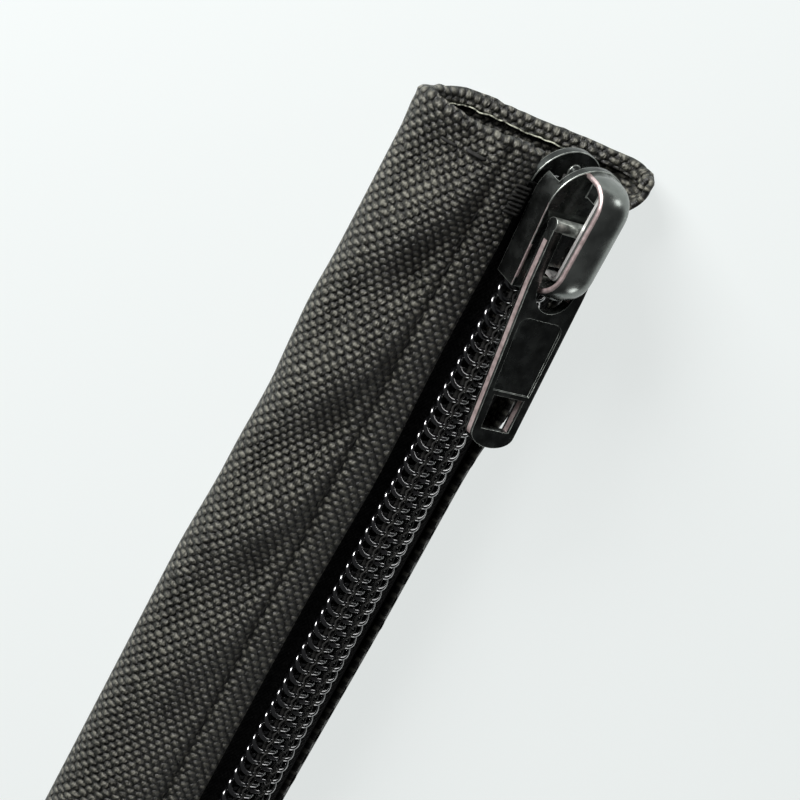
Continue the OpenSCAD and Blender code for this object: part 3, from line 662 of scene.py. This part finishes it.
# the rounded edges are painted pale, a painted highlight
for face in rim:
    face.material_index = painted_highlight
worn_at, worn_across = Vector((-3.47, -7, 0)) * mm, Vector((0.9969, 0.0787, 0))
worn_from, worn_to = -6 * mm, -2.2 * mm
for spot, way in ((worn_at, worn_across), ((0, worn_from, 0), (0, 1, 0)), ((0, worn_to, 0), (0, 1, 0))):
    split_off(bm, slider_place, spot, way, lambda f: f.normal.dot(plate_way) > 0.3)
for face in bm.faces:
    spot = slider_place.inverted() @ face.calc_center_median()
    beside = (spot - worn_at).dot(worn_across) < 0
    if beside and spot.z > 3 * mm and worn_from < spot.y < worn_to:
        face.material_index = copper
solid_piece("slider_casting", bm, "slider", [black_gloss, copper_edge, painted_highlight_gloss], "slider_metal",
            "slider_body")

# The crown: a strap of pressed steel over the slider, with its feet closed into the upper plate.
# It holds the pull tab's bar and covers the lock spring, and its outside is rounded across and carries a
# painted reflection.
strap_half, strap_deep, outer_bow, inner_bow = 1.9, 0.3, 0.42, 0.1
arch_steps, top_steps = 10, 6
bm = bmesh.new()
strap = bmesh.ops.create_circle(bm, segments=28, radius=1)["verts"]
for v in strap:
    x = math.copysign(abs(v.co.x) ** 0.42, v.co.x)
    y = math.copysign(abs(v.co.y) ** 0.5, v.co.y)
    bow = (outer_bow if y > 0 else inner_bow) * (1 - x * x)
    v.co = Vector((x * strap_half, y * strap_deep + bow, 0)) * mm
bmesh.ops.translate(bm, verts=strap, vec=(0, 6.2 * mm, plate_top - 0.4 * mm))
ring = draw_ring(bm, bm.edges[:], vec=(0, 0, 1.8 * mm))
arch = Matrix.Rotation(math.pi / 2 / arch_steps, 3, "X")
for _ in range(arch_steps):
    ring = draw_ring(bm, ring, turn=arch, cent=(0, 3.8 * mm, plate_top + 1.4 * mm))
for _ in range(top_steps):
    ring = draw_ring(bm, ring, vec=(0, -6.8 * mm / top_steps, 0))
for _ in range(arch_steps):
    ring = draw_ring(bm, ring, turn=arch, cent=(0, -3 * mm, plate_top + 0.6 * mm))
draw_ring(bm, ring, vec=(0, 0, -1.0 * mm))
bmesh.ops.holes_fill(bm, edges=[e for e in bm.edges if e.is_boundary], sides=0)
bm.normal_update()
for face in bm.faces:
    if face.calc_center_median().x < -1.72 * mm:
        face.material_index = copper
bmesh.ops.transform(bm, verts=bm.verts, matrix=slider_place)
solid_piece("crown_strap", bm, "slider", [crown_painted_reflection, copper_edge], "slider_metal", "slider_crown")

# The lock spring: a bent leaf of bright spring steel under the crown, with a prong through the plate.
# Its solid has the right shape, so it stays and only takes the finish.
spring_steel, add, feed = new_finish("spring_steel")
spring_place = add("TexCoord").node.outputs["Object"]
drawn = add("Mapping", spring_place, None, None, (4000.0, 300.0, 4000.0))
streak = add("TexNoise", drawn, None, 1.0, 3.0)
feed("Base Color", shade_between(add, streak, (0.3, (0.6, 0.59, 0.57)), (0.7, (0.82, 0.81, 0.79))))
feed("Metallic", 0.7)
feed("Roughness", shade_between(add, streak, (0.3, (0.3, 0.3, 0.3)), (0.7, (0.42, 0.42, 0.42))))
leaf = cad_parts["lock_spring"]
leaf.data.materials.clear()
leaf.data.materials.append(spring_steel)

# The pull tab: a die-cast tab with a round bar across its eye, a recessed grip and a slot at its end.
# It has the slider's finish, the same wear along the side that rubs, and the same painted highlight on its
# rounded edges and its bar.
tab_place = (slider_place @ Matrix.Translation((0, 0.6 * mm, 4.27 * mm))
             @ Matrix.Rotation(math.radians(-2), 4, "Z") @ Matrix.Rotation(math.radians(-9), 4, "X"))
bm, rim = rounded_copy("pull_tab", 0.12 * mm)
bm.normal_update()
# the rounded edges are painted pale, a painted highlight
for face in rim:
    face.material_index = painted_highlight
edge_low, edge_high, edge_end = -0.32 * mm, 0.28 * mm, -1.6 * mm
for spot, way in (((0, 0, edge_high), (0, 0, 1)), ((0, 0, edge_low), (0, 0, 1)),
                  ((0, edge_end, 0), (0, 1, 0))):
    split_off(bm, tab_place, spot, way, lambda f: f.normal.dot(left_way) > 0.9)
# the side band takes the copper wear, and the middle of the bar is painted pale, a painted highlight where
# it sits in the crown's shade
for face in bm.faces:
    spot = tab_place.inverted() @ face.calc_center_median()
    if face.normal.dot(left_way) > 0.9 and edge_low < spot.z < edge_high and spot.y < edge_end:
        face.material_index = copper
    elif abs(spot.x) < 2.3 * mm and spot.yz.length < 0.85 * mm:
        face.material_index = painted_highlight
solid_piece("cast_pull_tab", bm, "tab", [black_gloss, copper_edge, painted_highlight_gloss], "slider_metal",
            "pull_tab")

# The studio: a pale floor that the sleeve lies on, a soft sky, and three soft lamps.
# The camera looks down from the mouth's side, as the photograph does.
floor_bm = bmesh.new()
bmesh.ops.create_grid(floor_bm, x_segments=1, y_segments=1, size=3)
floor_mesh = bpy.data.meshes.new("studio_floor")
floor_bm.to_mesh(floor_mesh)
floor_bm.free()
floor = bpy.data.objects.new("studio_floor", floor_mesh)
bpy.context.scene.collection.objects.link(floor)
floor.location.z = -0.02 * mm
pale_floor, add, feed = new_finish("pale_floor")
feed("Base Color", (0.16, 0.167, 0.166, 1))
feed("Roughness", 0.9)
feed("Specular IOR Level", 0.1)
rays = add("LightPath").node.outputs
seen = add("Math", rays["Is Camera Ray"], rays["Is Glossy Ray"], operation="MAXIMUM")
seen = add("Math", seen, rays["Is Transmission Ray"], operation="MAXIMUM")
feed("Emission Color", (0.96, 1.0, 0.99, 1))
feed("Emission Strength", add("Math", seen, 0.735, operation="MULTIPLY"))
floor.data.materials.append(pale_floor)

world = bpy.data.worlds.new("studio_sky")
world.use_nodes = True
bpy.context.scene.world = world
sky = world.node_tree.nodes["Background"]
sky.inputs["Color"].default_value = (0.95, 0.98, 1.0, 1)
sky.inputs["Strength"].default_value = 0.07

aim = Vector((0, 90, 6)) * mm
for name, spot, size, power in (("key_lamp", (-0.25, 0.32, 0.14), (0.17, 0.17), 3.4),
                                ("right_mouth_lamp", (0.46, 0.52, 0.1), (0.14, 0.12), 0.35),
                                ("right_foot_lamp", (0.5, -0.34, 0.12), (0.14, 0.12), 0.3)):
    lamp = bpy.data.lights.new(name, "AREA")
    lamp.shape = "RECTANGLE"
    lamp.size, lamp.size_y = size
    lamp.energy = power
    stand = bpy.data.objects.new(name, lamp)
    bpy.context.scene.collection.objects.link(stand)
    stand.location = Vector(spot)
    stand.visible_camera = False
    stand.rotation_mode = "QUATERNION"
    stand.rotation_quaternion = (Vector(spot) - aim).to_track_quat("Z", "Y")

lean, rise, roll = math.radians(-14.812), math.radians(67.389), math.radians(28.325)
look_at, camera_far = Vector((0.346, 94.56, 10)) * mm, 354.3 * mm
back = Vector((math.sin(lean), math.cos(lean) * math.cos(rise), math.cos(lean) * math.sin(rise)))
mouthward = (lengthwise - back * back.y).normalized()
sideward = mouthward.cross(back)
picture_right = sideward * math.cos(roll) + mouthward * math.sin(roll)
picture_up = mouthward * math.cos(roll) - sideward * math.sin(roll)
lens = bpy.data.cameras.new("studio_camera")
lens.sensor_width = 36
lens.lens = 160.038
lens.clip_start, lens.clip_end = 0.01, 20
camera = bpy.data.objects.new("studio_camera", lens)
bpy.context.scene.collection.objects.link(camera)
facing = Matrix((picture_right, picture_up, back)).transposed().to_4x4()
camera.matrix_world = Matrix.Translation(look_at + back * camera_far) @ facing
bpy.context.scene.camera = camera
bpy.context.scene.view_settings.view_transform = "Standard"
